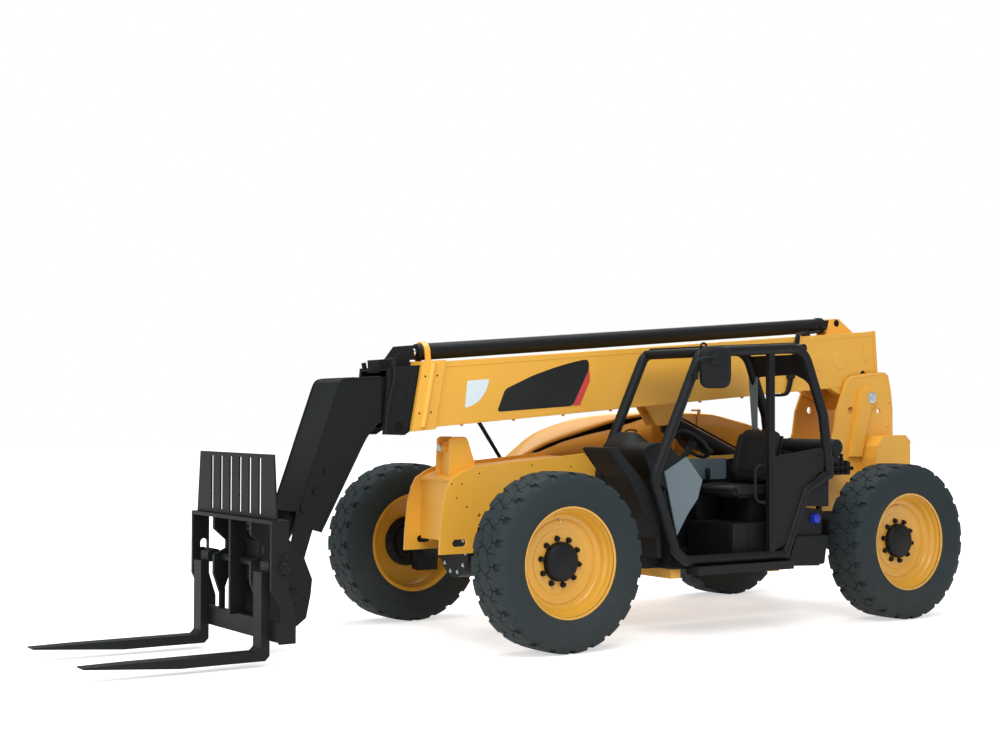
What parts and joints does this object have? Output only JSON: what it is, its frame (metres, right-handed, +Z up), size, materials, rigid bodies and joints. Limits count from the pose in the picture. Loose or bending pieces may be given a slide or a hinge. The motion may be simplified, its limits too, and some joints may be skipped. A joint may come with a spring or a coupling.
{
  "type": "telehandler",
  "caption": "Rough-terrain telescopic handler with a three-section boom, pallet forks, open operator station, side engine pod and four steered driven wheels.",
  "frame": {"origin": "on the ground on the centreline, under the middle of the overall length", "axes": "+X towards the forks, +Y towards the operator station (left), +Z up"},
  "size_m": [7.261, 2.386, 2.425],
  "materials": {
    "yellow_paint": "satin",
    "rim_paint": "satin",
    "black_paint": "satin",
    "tyre_rubber": "matte",
    "black_plastic": "matte",
    "grey_panel": "matte",
    "seat_vinyl": "satin",
    "chrome_rod": "polished"
  },
  "bodies": {
    "chassis": {"main_frame": "yellow_paint", "cab_beams": "yellow_paint", "boom_rest_bracket": "yellow_paint", "counterweight": "yellow_paint", "front_axle": "black_paint", "rear_axle": "black_paint", "engine_block": "black_paint", "engine_pod": "yellow_paint", "cab_frame": "black_paint", "cab_sill_tubes": "black_paint", "cab_roof": "black_paint", "cab_floor_and_walls": "black_plastic", "cab_side_panel": "black_plastic", "fuel_tank": "black_paint", "running_board": "black_paint", "front_fender": "black_plastic", "dashboard": "black_plastic", "kick_panel": "grey_panel", "seat": "seat_vinyl", "seat_base": "black_plastic", "steering_wheel": "black_plastic", "mirror": "black_paint", "right_mirror": "black_paint"},
    "hood": {"engine_hood": "yellow_paint"},
    "boom": {"outer_boom": "yellow_paint", "extension_cylinder": "black_paint"},
    "mid_section": {"mid_boom": "black_paint", "extension_rod": "chrome_rod"},
    "fly_section": {"fly_boom": "black_paint"},
    "carriage": {"coupler": "black_paint", "fork_carriage": "black_paint", "load_backrest": "black_paint", "forks": "black_paint"},
    "lift_barrel": {"lift_cylinder": "black_paint"},
    "lift_piston": {"lift_rod": "chrome_rod"},
    "tilt_barrel": {"tilt_cylinder": "black_paint"},
    "tilt_piston": {"tilt_rod": "chrome_rod"},
    "front_left_steer": {"front_left_knuckle": "black_paint"},
    "front_left_wheel": {"front_left_tyre": "tyre_rubber", "front_left_rim": "rim_paint", "front_left_hub": "black_paint"},
    "front_right_steer": {"front_right_knuckle": "black_paint"},
    "front_right_wheel": {"front_right_tyre": "tyre_rubber", "front_right_rim": "rim_paint", "front_right_hub": "black_paint"},
    "rear_left_steer": {"rear_left_knuckle": "black_paint"},
    "rear_left_wheel": {"rear_left_tyre": "tyre_rubber", "rear_left_rim": "rim_paint", "rear_left_hub": "black_paint"},
    "rear_right_steer": {"rear_right_knuckle": "black_paint"},
    "rear_right_wheel": {"rear_right_tyre": "tyre_rubber", "rear_right_rim": "rim_paint", "rear_right_hub": "black_paint"}
  },
  "joints": [
    {"name": "boom_lift", "type": "hinge", "parent": "chassis", "child": "boom", "pos_m": [-3.3005, 0, 1.75], "axis": [0, -1, 0], "range_deg": [0, 74.6]},
    {"name": "mid_extend", "type": "slide", "parent": "boom", "child": "mid_section", "axis": [0.9968, 0, -0.0802], "range_m": [0, 3.3]},
    {"name": "fly_extend", "type": "slide", "parent": "mid_section", "child": "fly_section", "axis": [0.9968, 0, -0.0802], "range_m": [0, 3.3]},
    {"name": "carriage_tilt", "type": "hinge", "parent": "fly_section", "child": "carriage", "pos_m": [2.1095, 0, 0.4], "axis": [0, -1, 0], "range_deg": [-100, 15]},
    {"name": "lift_barrel_swing", "type": "hinge", "parent": "chassis", "child": "lift_barrel", "pos_m": [-2.6805, 0, 0.95], "axis": [0, -1, 0], "range_deg": [0, 66]},
    {"name": "lift_rod_slide", "type": "slide", "parent": "lift_barrel", "child": "lift_piston", "axis": [0.923, 0, 0.3849], "range_m": [0, 1.19]},
    {"name": "tilt_barrel_swing", "type": "hinge", "parent": "fly_section", "child": "tilt_barrel", "pos_m": [1.6095, 0, 1.56], "axis": [0, -1, 0], "range_deg": [-2, 1]},
    {"name": "tilt_rod_slide", "type": "slide", "parent": "tilt_barrel", "child": "tilt_piston", "axis": [0.5084, 0, -0.8611], "range_m": [-0.055, 0.36]},
    {"name": "hood_lid", "type": "hinge", "parent": "chassis", "child": "hood", "pos_m": [-1.6305, -0.298, 1.636], "axis": [-1, 0, 0], "range_deg": [0, 60]},
    {"name": "front_left_steering", "type": "hinge", "parent": "chassis", "child": "front_left_steer", "pos_m": [0.5195, 0.8, 0.609], "axis": [0, 0, 1], "range_deg": [-40, 40]},
    {"name": "front_left_spin", "type": "hinge", "parent": "front_left_steer", "child": "front_left_wheel", "pos_m": [0.5195, 1.013, 0.609], "axis": [0, 1, 0], "continuous": true},
    {"name": "front_right_steering", "type": "hinge", "parent": "chassis", "child": "front_right_steer", "pos_m": [0.5195, -0.8, 0.609], "axis": [0, 0, 1], "range_deg": [-40, 40]},
    {"name": "front_right_spin", "type": "hinge", "parent": "front_right_steer", "child": "front_right_wheel", "pos_m": [0.5195, -1.013, 0.609], "axis": [0, 1, 0], "continuous": true},
    {"name": "rear_left_steering", "type": "hinge", "parent": "chassis", "child": "rear_left_steer", "pos_m": [-2.7805, 0.8, 0.609], "axis": [0, 0, 1], "range_deg": [-40, 40]},
    {"name": "rear_left_spin", "type": "hinge", "parent": "rear_left_steer", "child": "rear_left_wheel", "pos_m": [-2.7805, 1.013, 0.609], "axis": [0, 1, 0], "continuous": true},
    {"name": "rear_right_steering", "type": "hinge", "parent": "chassis", "child": "rear_right_steer", "pos_m": [-2.7805, -0.8, 0.609], "axis": [0, 0, 1], "range_deg": [-40, 40]},
    {"name": "rear_right_spin", "type": "hinge", "parent": "rear_right_steer", "child": "rear_right_wheel", "pos_m": [-2.7805, -1.013, 0.609], "axis": [0, 1, 0], "continuous": true}
  ],
  "couplings": [
    {"joint": "fly_extend", "follows": "mid_extend", "ratio": 1},
    {"joint": "lift_barrel_swing", "follows": "boom_lift", "ratio": 0.87248},
    {"joint": "lift_rod_slide", "follows": "boom_lift", "m_per_rad": 0.90211},
    {"joint": "tilt_barrel_swing", "follows": "carriage_tilt", "ratio": 0.011089},
    {"joint": "tilt_rod_slide", "follows": "carriage_tilt", "m_per_rad": -0.19858},
    {"joint": "front_right_steering", "follows": "front_left_steering", "ratio": 1},
    {"joint": "rear_right_steering", "follows": "rear_left_steering", "ratio": 1}
  ]
}
